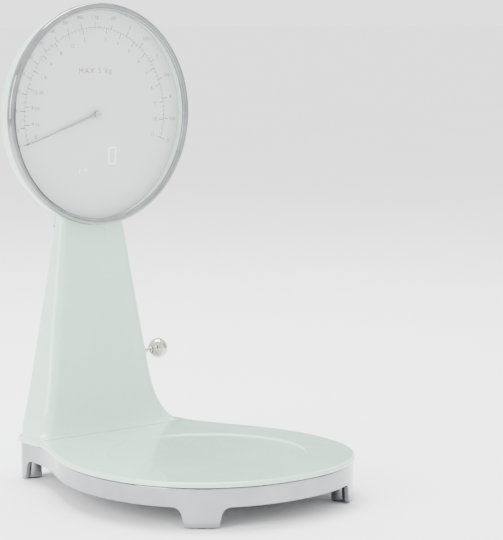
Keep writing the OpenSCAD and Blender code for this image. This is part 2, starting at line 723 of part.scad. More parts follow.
// ---------- pointer and its motor ----------
motor_hw = 16;
motor_wall = 1.2;
tooth = 0.4;
wheel_teeth = 48;
pinion_teeth = 10;
wheel_y = motor_y + 2.2;
wheel_t = 1.5;
pinion_r = tooth * pinion_teeth / 2;
gear_centres = tooth * (wheel_teeth + pinion_teeth) / 2;
function involute(a) = tan(a) * 180 / PI - a;
// Half the width of a tooth, as an angle, at the radius q.
function half_tooth(n, r, q) = 90 / n * 0.88 + involute(20)
    - involute(acos(min(1, r * cos(20) / q)));
// Gear about the Z axis: n involute teeth, with the tips and roots at the given distances
// from the pitch circle.
module gear(n, tip, root, h) {
    r = tooth * n / 2;
    low = max(r - root, r * cos(20));
    steps = [for (i = [0:3]) low + (r + tip - low) * i / 3];
    linear_extrude(h) polygon([for (k = [0:n - 1]) let (a = 360 * k / n) each concat(
        [(r - root) * [cos(a - half_tooth(n, r, low)), sin(a - half_tooth(n, r, low))]],
        [for (q = steps) q * [cos(a - half_tooth(n, r, q)), sin(a - half_tooth(n, r, q))]],
        [for (i = [3:-1:0]) let (q = steps[i])
            q * [cos(a + half_tooth(n, r, q)), sin(a + half_tooth(n, r, q))]],
        [(r - root) * [cos(a + half_tooth(n, r, low)), sin(a + half_tooth(n, r, low))]])]);
}
// Square case with rounded corners, seen along the dial's axis.
module case_shape(d) {
    square([2 * (motor_hw - d) - 6, 2 * (motor_hw - d)], center = true);
    square([2 * (motor_hw - d), 2 * (motor_hw - d) - 6], center = true);
    for (sx = [-1, 1], sy = [-1, 1]) translate([sx * (motor_hw - d - 3), sy * (motor_hw - d - 3)]) circle(r = 3);
}
module at_motor(y) {
    translate([0, y, head_z]) rotate([-90, 0, 0]) children();
}
module motor_case() {
    placed() color(white) at_motor(motor_y) difference() {
        linear_extrude(motor_t - motor_wall) case_shape(0);
        translate([0, 0, motor_wall]) linear_extrude(motor_t) case_shape(motor_wall);
        translate([0, 0, -1]) cylinder(r = arbor_r + 0.05, h = 9);
    }
}
module motor_cover() {
    placed() color(white) at_motor(motor_y + motor_t - motor_wall) linear_extrude(motor_wall) case_shape(0);
}
module motor_coils() {
    placed() color(brass) at_motor(motor_y + 4.6) for (a = [0, 90])
        rotate([0, 0, a]) translate([10, 0, 0.9]) rotate([90, 0, 0]) translate([0, 0, -4]) difference() {
            cylinder(r = 1.2, h = 8);
            translate([0, 0, -1]) cylinder(r = 0.5, h = 10);
        }
}
module drive_wheel() {
    placed() color(white) at_motor(wheel_y) difference() {
        gear(wheel_teeth, 0.6 * tooth, 1.25 * tooth, wheel_t);
        translate([0, 0, -1]) cylinder(r = arbor_r, h = 9);
    }
}
module motor_pinion() {
    placed() color(white) at_motor(wheel_y - 0.3) translate([0, -gear_centres, 0])
        gear(pinion_teeth, tooth, 0.95 * tooth, wheel_t + 0.6);
}
module motor_magnet() {
    placed() color(dark) at_motor(wheel_y - 0.3 + wheel_t + 0.6) translate([0, -gear_centres, 0])
        cylinder(r = 2.6, h = 2.2);
}
cap_y = head_y + 4.7;
needle_y = cap_y + 1.6;
needle_t = 0.7;
pointer_len = head_r - bezel_w - tip_gap;
module pointer() {
    placed() color(chrome) difference() {
        translate([0, needle_y + needle_t, head_z]) rotate([90, 0, 0]) rotate([0, 0, pointer_zero])
            linear_extrude(needle_t) union() {
                polygon([[0, -1.9], [pointer_len, -0.35], [pointer_len, 0.35], [0, 1.9]]);
                circle(r = 3.1);
            }
        head_rod(0, 0, arbor_r, needle_y - 1, needle_y + 3);
    }
}
module pointer_cap() {
    placed() color(steel) turned(64) polygon(concat([[0, needle_y], [0, cap_y]],
        arc([1.9, cap_y + 0.8], 0.8, -90, 0, 4), [[2.7, needle_y]]));
}
module pointer_arbor() {
    placed() color(steel) head_rod(0, 0, arbor_r, needle_y, motor_y + motor_t - motor_wall - 0.4);
}

// ---------- lever ----------
// Everything on the lever is drawn along its own rod, then tilted and moved to the pivot.
module at_pivot() {
    translate([lever_pivot_x, lever_y, lever_z]) rotate([0, -lever_tilt, 0]) children();
}
module along_y(r, y0, y1) {
    translate([0, y0, 0]) rotate([-90, 0, 0]) cylinder(r = r, h = y1 - y0);
}
hub_r = 4.5;
hub_hw = 3.2;
pin_r = 1.5;
tail_len = 11;
tail_hh = 1.6;
ear_t = 1.4;
ear_gap = 0.4;
spring_room = 2.2;
bracket_hw = hub_hw + ear_gap + ear_t;
bracket_x = lever_pivot_x - tail_len - 3;
bracket_flange_x = bracket_x - 8;
bracket_screw_z = [lever_z - 6, lever_z + 6];
module lever_rocker() {
    placed() color(white) at_pivot() difference() {
        union() {
            along_y(hub_r, -hub_hw, hub_hw);
            rotate([0, 90, 0]) cylinder(r = 2.7, h = 11);
            translate([-tail_len, -2.2, -tail_hh]) cube([tail_len, 4.4, 2 * tail_hh]);
        }
        along_y(pin_r + 0.05, -9, 9);
        translate([6, 0, 0]) rotate([0, 90, 0]) cylinder(r = rod_d / 2, h = 9);
    }
}
module lever_rod() {
    placed() color(steel) at_pivot() translate([6, 0, 0]) rotate([0, 90, 0])
        cylinder(r = rod_d / 2, h = lever_len - 6 - knob_d / 2 + 3);
}
module lever_knob() {
    placed() color(steel) at_pivot() difference() {
        translate([lever_len, 0, 0]) rotate([0, 90, 0]) rotate_extrude($fn = 96) intersection() {
            circle(r = knob_d / 2, $fn = 96);
            translate([0, -knob_d]) square([knob_d, 2 * knob_d]);
        }
        rotate([0, 90, 0]) cylinder(r = rod_d / 2, h = lever_len - knob_d / 2 + 3);
    }
}
module lever_pin() {
    placed() color(steel) at_pivot() along_y(pin_r, -bracket_hw, bracket_hw + spring_room - 1);
}
module lever_bracket() {
    placed() color(steel) translate([0, lever_y, 0]) difference() {
        union() {
            for (y = [-bracket_hw, bracket_hw - ear_t]) {
                translate([bracket_x, y, lever_z - 9]) cube([lever_pivot_x - bracket_x, ear_t, 18]);
                translate([lever_pivot_x, y, lever_z]) rotate([-90, 0, 0]) cylinder(r = 6, h = ear_t);
            }
            translate([bracket_x, -bracket_hw, lever_z - 9]) cube([1.2, 2 * bracket_hw, 18]);
            translate([bracket_x, bracket_hw - ear_t, lever_z - 9])
                cube([1.2, column_back - cover_t - lever_y - bracket_hw + ear_t, 18]);
            translate([bracket_flange_x - 4, column_back - cover_t - 1.2 - lever_y, lever_z - 9])
                cube([bracket_x - bracket_flange_x + 5.2, 1.2, 18]);
        }
        translate([lever_pivot_x, 0, lever_z]) along_y(pin_r + 0.02, -9, 9);
        for (z = bracket_screw_z) translate([bracket_flange_x, 0, z]) along_y(1 + screw_gap, 0, 20);
    }
}
module bracket_screws() {
    placed() color(steel) for (z = bracket_screw_z)
        translate([bracket_flange_x, column_back - 1, z]) rotate([-90, 0, 0]) screw(1, 4.2, 2.1, 0.9);
}
// Tube of radius r along a list of points, with s sides.
module tube(path, r, s) {
    n = len(path);
    loft([for (i = [0:n - 1]) let (
        d = path[min(i + 1, n - 1)] - path[max(i - 1, 0)], t = d / norm(d),
        side = cross(t, [0.31, 0.95, 0.05]), a = side / norm(side), b = cross(a, t))
        [for (k = [0:s - 1]) path[i] + r * (cos(360 * k / s) * a + sin(360 * k / s) * b)]]);
}
spring_turns = 3;
module lever_spring() {
    placed() color(steel) translate([lever_pivot_x, lever_y + bracket_hw + 0.3, lever_z])
        rotate([-90, 0, 0]) tube([for (i = [0:14 * spring_turns]) let (a = 360 * i / 14)
            [2.3 * cos(a), 2.3 * sin(a), 0.3 + 0.55 * i / 14]], 0.25, 6);
}
module lever_switches() {
    gap = tail_hh + tail_len * sin(lever_swing) + 0.5;
    placed() color(dark) translate([bracket_x + 1.2, lever_y, lever_z - tail_len * sin(lever_tilt)])
        for (s = [-1, 1]) translate([2.5, 0, s * (gap + 1.6)]) cube([5, 6.4, 3.2], center = true);
}
// Wires from the base up the column to the board, as one bundle.
loom_r = 1.6;
loom_points = [[8, 136, bay_top + 0.7], [7, 139, bay_top + 9], [3, 146, bay_top + 29],
    [0, 147, bay_top + 49], [0, 147, neck_z - 80], [0, 147, neck_z - 40], [0, 147, neck_z],
    [0, 147.5, neck_z + 12], [0, 148.6, head_z - 64], [0, 149.1, head_z - 54], [0, 149.1, head_z - 46]];
module wiring_loom() {
    placed() color(dark) tube(loom_points, loom_r, 8);
}

base_ring();
base_legs();
foot_pads();
base_plate();
base_plate_screws();
battery_door();
batteries();
battery_contacts();
load_cell();
cell_spacer();
cell_screws();
overload_stops();
platter();
platter_carrier();
platform_spacer();
platform_cell_screws();
carrier_screws();
column();
column_screws();
rear_cover();
rear_cover_screws();
neck_screws();
dial_housing();
bezel();
dial_glass();
glass_gasket();
dial_plate();
dial_frame();
dial_frame_screws();
display_module();
main_board();
board_screws();
motor_case();
motor_cover();
motor_coils();
drive_wheel();
motor_pinion();
motor_magnet();
pointer();
pointer_cap();
pointer_arbor();
lever_bracket();
bracket_screws();
lever_pin();
lever_rocker();
lever_rod();
lever_knob();
lever_spring();
lever_switches();
wiring_loom();
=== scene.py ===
import json
from math import cos, pi, radians, sin, tan

import bmesh
import bpy
import numpy as np
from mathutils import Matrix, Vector


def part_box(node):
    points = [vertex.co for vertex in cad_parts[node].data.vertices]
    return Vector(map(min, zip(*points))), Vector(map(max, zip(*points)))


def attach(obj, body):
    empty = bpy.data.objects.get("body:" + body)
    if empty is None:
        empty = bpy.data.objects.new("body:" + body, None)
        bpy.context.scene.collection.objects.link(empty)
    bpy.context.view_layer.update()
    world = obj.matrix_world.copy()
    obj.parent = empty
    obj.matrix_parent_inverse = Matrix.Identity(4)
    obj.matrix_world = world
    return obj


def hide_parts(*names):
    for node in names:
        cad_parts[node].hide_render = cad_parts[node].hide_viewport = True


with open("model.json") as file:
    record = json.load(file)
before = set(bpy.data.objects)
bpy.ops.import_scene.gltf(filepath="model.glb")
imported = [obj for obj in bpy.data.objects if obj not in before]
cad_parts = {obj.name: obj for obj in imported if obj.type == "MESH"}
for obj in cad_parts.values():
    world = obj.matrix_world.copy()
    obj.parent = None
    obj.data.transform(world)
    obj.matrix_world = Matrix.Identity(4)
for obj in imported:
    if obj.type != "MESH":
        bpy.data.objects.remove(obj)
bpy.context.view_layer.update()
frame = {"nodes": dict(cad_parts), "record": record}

MM = 0.001
nodes = frame["nodes"]

# ---------- places and sizes, in metres ----------
ring_low, ring_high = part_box("base_ring")
plate_low, plate_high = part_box("platter")
bezel_low, bezel_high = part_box("bezel")
housing_low, housing_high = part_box("dial_housing")
glass_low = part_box("dial_glass")[0]
dial_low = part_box("dial_plate")[0]
needle_low, needle_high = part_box("pointer")
cap_low, cap_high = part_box("pointer_cap")
ball_low, ball_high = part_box("lever_knob")
rod_low, rod_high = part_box("lever_rod")
cover_low, cover_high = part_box("rear_cover")

# Base: a rounded front, a waist on each side and two round corners behind.
base_r = ring_high.x
base_square = 2.2
seat_y = ring_low.y + base_r
back_y = ring_high.y
back_hw = 72 * MM
corner_r = 16 * MM
waist_angle = 12
wall = 3.2 * MM
leg_z = 15.5 * MM
foot_z = 1 * MM
band_top = ring_high.z
leg_foot_hw = 12.6 * MM
leg_root_hw = 16 * MM
leg_hollow = 7 * MM
leg_angle = 41.5
plate_over = 1.5 * MM
plate_top = plate_high.z
seam_y = plate_high.y
seam_gap = 0.6 * MM
seat_r = 74.8 * MM
seat_depth = 1 * MM

# Column: it leans back, widens downwards and sweeps out into the foot.
head_r = bezel_high.x
head_z = (bezel_low.z + bezel_high.z) / 2
drum_r = housing_high.x
neck_z = head_z - head_r - 7 * MM
front_foot_y = seat_y + 127.5 * MM
front_neck_y = seat_y + 141.8 * MM
column_back = cover_high.y
foot_hw = 53.6 * MM
neck_hw = 31.6 * MM
foot_back_hw = 65.6 * MM
neck_back_hw = 33.2 * MM
foot_rise = 30 * MM
side_rise = 45 * MM
corner_rise = 13 * MM
side_flare = 17.5 * MM
back_flare = 5.5 * MM
front_round = 9 * MM
back_round = 3.2 * MM
shell_t = 2.4 * MM
cover_gap = 0.15 * MM

# Lever: a rod through a slot in the column's right side, with a ball on its end.
ball_r = 8 * MM
lever_tilt = radians(4)
lever_along = np.array([cos(lever_tilt), 0, sin(lever_tilt)])
rod_r = 1.5 * MM
slot_y = (rod_low.y + rod_high.y) / 2
ball_middle = np.array([ball_high.x - ball_r, slot_y, (ball_low.z + ball_high.z) / 2])
slot_z = 89.2 * MM
slot_half = 2.6 * MM
slot_r = rod_r + 0.3 * MM

# Housing behind the dial, and the bezel round it.
housing_round = 20 * MM
housing_crown = 1.5 * MM
housing_wall = 2.6 * MM
bezel_w = 5.7 * MM
hub = (0, 0, head_z)

# Dial: 0 to 1 kg takes the left half of the arc, and 1 to 5 kg the right half.
zero_at = 198
kilo_at = 90
full_at = -18
pounds_in_kilo = 2.20462
print_y = dial_low.y - 0.03 * MM
arc_r = 0.78 * head_r


# ---------- surfaces ----------
def unit(v):
    """Vectors along the last axis, scaled to length 1."""
    return v / np.linalg.norm(v, axis=-1, keepdims=True)


def rounded(corners, steps=8, closed=True):
    """Outline through corners (x, y, radius), with each corner replaced by a true arc of that radius."""
    c = np.array([q[:2] for q in corners], float)
    made = []
    for i, q in enumerate(corners):
        if q[2] == 0 or (not closed and i in (0, len(corners) - 1)):
            made.append(c[i:i + 1])
            continue
        u = unit(c[i - 1] - c[i])
        w = unit(c[(i + 1) % len(c)] - c[i])
        half = np.arccos(np.clip(u @ w, -1, 1)) / 2
        centre = c[i] + unit(u + w) * q[2] / sin(half)
        a = c[i] + u * q[2] / tan(half) - centre
        b = c[i] + w * q[2] / tan(half) - centre
        total = pi - 2 * half
        t = np.linspace(0, total, steps + 1)[:, None]
        made.append(centre + (np.sin(total - t) * a + np.sin(t) * b) / sin(total))
    return np.concatenate(made)


def densified(line, step):
    """The same line with extra points, so that none of its stretches is longer than step."""
    t = np.concatenate([[0], np.cumsum(np.linalg.norm(np.diff(line, axis=0), axis=1))])
    extra = [np.linspace(a, b, int((b - a) / step) + 2)[:-1] for a, b in zip(t[:-1], t[1:])]
    at = np.concatenate(extra + [t[-1:]])
    return np.stack([np.interp(at, t, line[:, k]) for k in range(line.shape[1])], -1)


def make_piece(name, sheets, material, body, stands_for=(), closed=True, keep=None, sharp=40):
    """Joins sheets into one mesh. A sheet is a grid of points in rows and columns, joined by quads where
    keep allows it. Points that meet are merged, which closes seams and poles."""
    verts, quads, first = [], [], 0
    for grid in sheets:
        rows, cols = grid.shape[:2]
        index = first + np.arange(rows * cols).reshape(rows, cols)
        four = np.stack([index[:-1, :-1], index[1:, :-1], index[1:, 1:], index[:-1, 1:]], -1)
        quads.append(four[keep] if keep is not None else four.reshape(-1, 4))
        verts.append(grid.reshape(-1, 3))
        first += rows * cols
    mesh = bpy.data.meshes.new(name)
    mesh.from_pydata(np.concatenate(verts).tolist(), [], np.concatenate(quads).tolist())
    work = bmesh.new()
    work.from_mesh(mesh)
    bmesh.ops.remove_doubles(work, verts=work.verts, dist=2e-6)
    bmesh.ops.dissolve_degenerate(work, dist=1e-7, edges=work.edges)
    loose = [v for v in work.verts if not v.link_faces]
    bmesh.ops.delete(work, geom=loose, context="VERTS")
    if closed:
        bmesh.ops.recalc_face_normals(work, faces=work.faces)
    work.to_mesh(mesh)
    work.free()
    mesh.shade_smooth()
    mesh.set_sharp_from_angle(angle=radians(sharp))
    piece = bpy.data.objects.new(name, mesh)
    bpy.context.scene.collection.objects.link(piece)
    mesh.materials.append(material)
    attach(piece, body)
    if stands_for:
        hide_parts(*stands_for)
    return piece


def turned(profile, centre, along=(0, 1, 0), steps=192):
    """Surface of revolution: each (radius, distance) of the profile is carried round the axis through
    centre."""
    axis = unit(np.array(along, float))
    side = unit(np.cross(axis, (0.31, 0.2, 0.93)))
    other = np.cross(axis, side)
    a = np.linspace(0, 2 * pi, steps + 1)[:, None, None]
    r, h = np.array(profile, float).T[:, None, :, None]
    return np.array(centre, float) + h * axis + r * (np.cos(a) * side + np.sin(a) * other)


def loop(profile):
    """A profile that returns to its start."""
    return np.concatenate([profile, profile[:1]])


# ---------- the base's outline ----------
def signed_power(v, e):
    """The size of v raised to e, with the sign of v."""
    return np.sign(v) * np.abs(v) ** e


def base_outline(count=1600, smooth=4 * MM):
    """Closed outline of the base with its outward normals. Half of it is a superellipse, a Bezier waist
    and a round corner; the other half is its mirror image. It is spaced evenly and averaged over a short
    stretch."""
    a = np.radians(np.linspace(-90, waist_angle, 400))
    front = base_r * signed_power(np.stack([np.cos(a), np.sin(a)], -1), 2 / base_square)
    depth = back_y - seat_y
    end = np.array([back_hw + 1 * MM, depth - corner_r - 14 * MM])
    run = end[1] - front[-1, 1]
    leave = front[-1] + 0.43 * run * unit(front[-1] - front[-2])
    arrive = end + 0.34 * run * np.array([0.08, -1])
    t = np.linspace(0, 1, 200)[1:, None]
    weights = ((1 - t) ** 3, 3 * t * (1 - t) ** 2, 3 * t * t * (1 - t), t ** 3)
    waist = sum(k * w for k, w in zip((front[-1], leave, arrive, end), weights))
    b = np.linspace(0, pi / 2, 120)
    corner_middle = np.array([back_hw - corner_r, depth - corner_r])
    corner = corner_middle + corner_r * np.stack([np.cos(b), np.sin(b)], -1)
    half = np.concatenate([front, waist, corner])
    whole = np.concatenate([half, half[::-1] * (-1, 1)])
    t = np.concatenate([[0], np.cumsum(np.linalg.norm(np.diff(whole, axis=0), axis=1))])
    at = np.linspace(0, t[-1], count + 1)[:-1]
    even = np.stack([np.interp(at, t, whole[:, k]) for k in (0, 1)], -1)
    width = int(smooth / (t[-1] / count)) | 1
    wrapped = np.concatenate([even[-width:], even, even[:width]])
    mean = np.stack([np.convolve(wrapped[:, k], np.ones(width) / width, "same") for k in (0, 1)], -1)
    mean = mean[width:-width]
    tangent = unit(np.roll(mean, -1, 0) - np.roll(mean, 1, 0))
    normal = np.stack([tangent[:, 1], -tangent[:, 0]], -1)
    return mean + (0, seat_y), normal, t[-1]


outline, outward, girth = base_outline()


def on_outline(s, inset):
    """Points at the distance s round the base's outline, moved in by inset."""
    at = np.linspace(0, girth, len(outline) + 1)
    closed_line = np.concatenate([outline, outline[:1]])
    closed_out = np.concatenate([outward, outward[:1]])
    point = np.stack([np.interp(s % girth, at, closed_line[:, k]) for k in (0, 1)], -1)
    out = unit(np.stack([np.interp(s % girth, at, closed_out[:, k]) for k in (0, 1)], -1))
    return point - out * np.asarray(inset)[..., None]


# ---------- materials ----------
def linear(code, alpha=1.0):
    """An sRGB hex colour as linear red, green, blue and alpha."""
    c = np.array([int(code[i:i + 2], 16) for i in (0, 2, 4)]) / 255
    return tuple(np.where(c <= 0.04045, c / 12.92, ((c + 0.055) / 1.055) ** 2.4)) + (alpha,)


def add(tree, kind, inputs=None, **settings):
    """Adds one shader node with its settings; an input is a value, or the output that is linked to it."""
    made = tree.nodes.new("ShaderNode" + kind)
    for key, value in settings.items():
        setattr(made, key, value)
    for key, value in (inputs or {}).items():
        if isinstance(value, bpy.types.NodeSocket):
            tree.links.new(value, made.inputs[key])
        else:
            made.inputs[key].default_value = value
    return made


def finish(name, colours, grain_mm, rough, bump_mm=0.0, bump_grain_mm=None, stretch=(1, 1, 1), **fixed):
    """A surface finish. Its colour drifts between two close shades over patches of grain_mm, its roughness
    between two values, and its height by bump_mm over grains of bump_grain_mm. The rest is set on the
    shader."""
    material = bpy.data.materials.new(name)
    material.use_nodes = True
    tree = material.node_tree
    shader = tree.nodes["Principled BSDF"]
    place = add(tree, "TexCoord").outputs["Object"]
    if stretch != (1, 1, 1):
        place = add(tree, "Mapping", {"Vector": place, "Scale": stretch}).outputs["Vector"]
    patches = add(tree, "TexNoise", {"Vector": place, "Scale": 1000 / grain_mm, "Detail": 3.0})
    patches = patches.outputs["Fac"]
    shade = add(tree, "MapRange", {0: patches, 1: 0.3, 2: 0.7}, clamp=True).outputs[0]
    mix = add(tree, "Mix", {"Factor": shade}, data_type="RGBA")
    mix.inputs[6].default_value = linear(colours[0])
    mix.inputs[7].default_value = linear(colours[1])
    tree.links.new(mix.outputs[2], shader.inputs["Base Color"])
    polish = add(tree, "MapRange", {0: patches, 1: 0.3, 2: 0.7, 3: rough[0], 4: rough[1]}, clamp=True)
    tree.links.new(polish.outputs[0], shader.inputs["Roughness"])
    if bump_mm:
        scale = 1000 / (bump_grain_mm or grain_mm)
        height = add(tree, "TexNoise", {"Vector": place, "Scale": scale, "Detail": 2.0}).outputs["Fac"]
        bump = add(tree, "Bump", {"Height": height, "Distance": bump_mm * MM, "Strength": 1.0})
        tree.links.new(bump.outputs["Normal"], shader.inputs["Normal"])
    for key, value in fixed.items():
        shader.inputs[key.replace("_", " ")].default_value = value
    return material


# Stoved gloss enamel on die-cast aluminium: an even pastel green under a clear gloss, with the faint
# waviness that sprayed paint keeps, which softens what it reflects.
enamel = finish("stoved_mint_enamel", ("B4D6C0", "BBDBC7"), 40, (0.24, 0.30), 0.012, 4,
    Coat_Weight=0.55, Coat_Roughness=0.08, IOR=1.5)
# Chrome plate on polished die-cast zinc: a clean mirror, a little hazed in patches by handling. Its colour is
# darker than real chrome: painted shade in the mirror, standing in for darker surroundings, so that it stands
# out where everything that it mirrors is white.
chrome_band = finish("chrome_on_zinc_with_painted_shade", ("8B8C8F", "9A9B9E"), 30, (0.07, 0.12), 0.002, 9,
    Metallic=1.0)
# Chrome plate on spun steel, darkened in the same way with painted shade in the mirror: a mirror, faintly wavy
# from its polishing.
chrome_bezel = finish("spun_chrome_with_painted_shade", ("88898C", "98999B"), 12, (0.06, 0.10), 0.0015, 3,
    Metallic=1.0)
# Nickel plate, buffed: warmer and softer than chrome.
nickel = finish("buffed_nickel_plate", ("B9B2A6", "C6C0B5"), 5, (0.08, 0.14), 0.002, 2.5, Metallic=1.0)
# Dial: off-white lacquer on a thin plate, satin, with a very fine grain.
lacquer = finish("satin_white_lacquer", ("CDCDCD", "D2D2D2"), 60, (0.38, 0.46), 0.003, 0.8, IOR=1.48)
# Screen-printed ink: near black, slightly uneven where the mesh let less through.
ink = finish("screen_printed_grey_ink", ("18181A", "222224"), 1.2, (0.5, 0.62), IOR=1.5)
# Moulded black rubber: matt, with the dull grain of the mould.
rubber = finish("moulded_black_rubber", ("141414", "1E1E1E"), 6, (0.75, 0.88), 0.02, 1.0, IOR=1.52)
# Grey ABS from a spark-eroded mould: fine even texture, low sheen.
grey_abs = finish("textured_grey_abs", ("54575A", "5C5F62"), 20, (0.52, 0.62), 0.03, 0.9, IOR=1.53)
# Black moulded plastic: slightly glossy, smooth.
black_plastic = finish("moulded_black_plastic", ("17181A", "212224"), 10, (0.34, 0.46), 0.01, 1.4, IOR=1.5)
# Natural acetal: off-white and waxy, from the mould.
acetal = finish("moulded_white_acetal", ("E4E3DC", "ECEBE5"), 8, (0.34, 0.42), 0.006, 1.6, IOR=1.48)
# Zinc-plated pressed steel: blue-white passivate, drawn one way by the rolling.
zinc = finish("zinc_plated_steel", ("A9ADB1", "BCC0C2"), 7, (0.26, 0.38), 0.006, 1.2, (1, 6, 1),
    Metallic=1.0)
# Milled aluminium: fine parallel cutter marks.
milled = finish("milled_aluminium", ("BEC0C2", "CDCFD0"), 4, (0.28, 0.4), 0.008, 0.7, (8, 1, 1),
    Metallic=1.0)
# Solder mask over woven glass epoxy: glossy green with the weave faintly raised.
solder_mask = finish("green_solder_mask", ("0F4A2B", "166038"), 3, (0.22, 0.32), 0.01, 0.6, IOR=1.5)
# Enamelled copper wire, wound: warm metal in fine turns.
copper = finish("enamelled_copper_wire", ("A85A2C", "C47A45"), 1.2, (0.25, 0.35), 0.02, 0.4, (1, 12, 1),
    Metallic=1.0)
# Printed shrink sleeve on a battery cell: dark green film with a soft shine.
sleeve = finish("printed_cell_sleeve", ("2F4A38", "3B5A45"), 9, (0.3, 0.42), 0.01, 2.0, IOR=1.5)
# Float glass, thin and flat: nearly all light goes straight through, and a faint sharp gloss stays.
glass = finish("clear_float_glass", ("F4F8F7", "FBFDFC"), 80, (0.015, 0.03), IOR=1.45, Alpha=0.03)


def lit(name, code, strength):
    """A lamp behind a diffuser: an even glow, a little brighter in patches where the diffuser is thin."""
    material = finish(name, (code, code), 2, (0.4, 0.5))
    tree = material.node_tree
    shader = tree.nodes["Principled BSDF"]
    place = add(tree, "TexCoord").outputs["Object"]
    patches = add(tree, "TexNoise", {"Vector": place, "Scale": 1000 / 1.5}).outputs["Fac"]
    glow = add(tree, "MapRange", {0: patches, 1: 0.3, 2: 0.7, 3: strength * 0.9, 4: strength}, clamp=True)
    tree.links.new(glow.outputs[0], shader.inputs["Emission Strength"])
    shader.inputs["Emission Color"].default_value = linear(code)
    return material


led_white = lit("white_led_segment", "FFFFFF", 1.1)
slot_materials = {
    "chrome_band": chrome_band, "chrome_bezel": chrome_bezel, "mint_paint": enamel, "black_rubber": rubber,
    "grey_plastic": grey_abs, "dark_plastic": black_plastic, "white_plastic": acetal, "dial_white": lacquer,
    "clear_glass": glass, "zinc_steel": zinc, "polished_nickel": nickel, "cell_aluminium": milled,
    "circuit_board": solder_mask, "copper_coil": copper, "cell_jacket": sleeve}
for part in frame["record"]["subparts"]:
    mesh = nodes[part["node"]].data
    mesh.materials.clear()
    mesh.materials.append(slot_materials[part["material_slot"]])


# ---------- base ----------
def leg_places():
    """Distance round the outline to the middle of each leg."""
    s = np.arange(len(outline)) * girth / len(outline)
    front = np.degrees(np.arctan2(outline[:, 0], seat_y - outline[:, 1]))
    rear = np.degrees(np.arctan2(outline[:, 0] - back_hw + corner_r, outline[:, 1] - back_y + corner_r))
    not_corner = outline[:, 1] < back_y - corner_r
    right = [s[np.argmin(abs(front - leg_angle))], s[np.argmin(abs(rear - 45) + not_corner)]]
    return sorted(right + [girth - q for q in right])


def base_ring():
    """The band and its legs: a cross-section is carried round the outline. Its lower edge is a line in
    (distance round, height) that drops down each leg and up again; the edge's rounding is laid off at right
    angles to that line."""
    near_leg, toe = leg_root_hw + 12 * MM, 1.8 * MM
    leg = [(-near_leg, leg_z, 0), (-leg_root_hw, leg_z, leg_hollow), (-leg_foot_hw, foot_z, toe),
        (leg_foot_hw, foot_z, toe), (leg_root_hw, leg_z, leg_hollow), (near_leg, leg_z, 0)]
    side = rounded(leg, 12, closed=False)
    lower = np.concatenate([side + (s, 0) for s in leg_places()])
    lower = np.concatenate([lower, lower[:1] + (girth, 0)])
    lower = densified(lower, 1.4 * MM)
    run = np.gradient(lower, axis=0)
    up = unit(np.stack([-run[:, 1], run[:, 0]], -1))
    edge = 0.7 * MM
    a = np.linspace(0, pi / 2, 6)
    fillet = edge * (1 - np.cos(a))
    low = [(wall, lower)]
    low += [(edge - edge * sin(q), lower + f * up) for q, f in zip(a, fillet)]
    start = low[-1][1]
    top = np.stack([lower[:, 0], np.full(len(lower), band_top - edge)], -1)
    high = [(0, start + (top - start) * t) for t in np.linspace(0, 1, 7)[1:]]
    high += [(f, top + (0, edge * sin(q))) for q, f in zip(a[1:], fillet[1:])]
    high += [(wall, top + (0, edge)), (wall, lower)]
    columns = [np.concatenate([on_outline(line[:, 0], np.full(len(line), inset)), line[:, 1:]], -1)
        for inset, line in low + high]
    return np.stack(columns, 1)


def leg_posts():
    """Round posts inside the legs, which the rubber feet are pressed into."""
    sheets = []
    recess_r, post_r, recess_top, post_top = 5.7 * MM, 7 * MM, foot_z + 1.6 * MM, 18.5 * MM
    pads = np.array([v.co for v in nodes["foot_pads"].data.vertices])
    for sx in (-1, 1):
        for sy in (-1, 1):
            mine = pads[(pads[:, 0] * sx > 0) & ((pads[:, 1] - seat_y) * sy > 0)]
            middle = (mine.min(0) + mine.max(0)) / 2
            post = rounded([(0, foot_z, 0), (recess_r, foot_z, 0.1 * MM), (recess_r, recess_top, 0),
                (recess_r + 0.05 * MM, foot_z, 0.02 * MM), (post_r, foot_z, 0.4 * MM), (post_r, post_top, 0),
                (0, post_top, 0)], 4, False)
            sheets.append(turned(post[1:], (middle[0], middle[1], 0), (0, 0, 1), 48))
    return sheets


make_piece("chrome_base_band", [base_ring()], chrome_band, "base",
    ["base_ring", "base_legs"])
make_piece("leg_posts", leg_posts(), chrome_band, "base", closed=False)


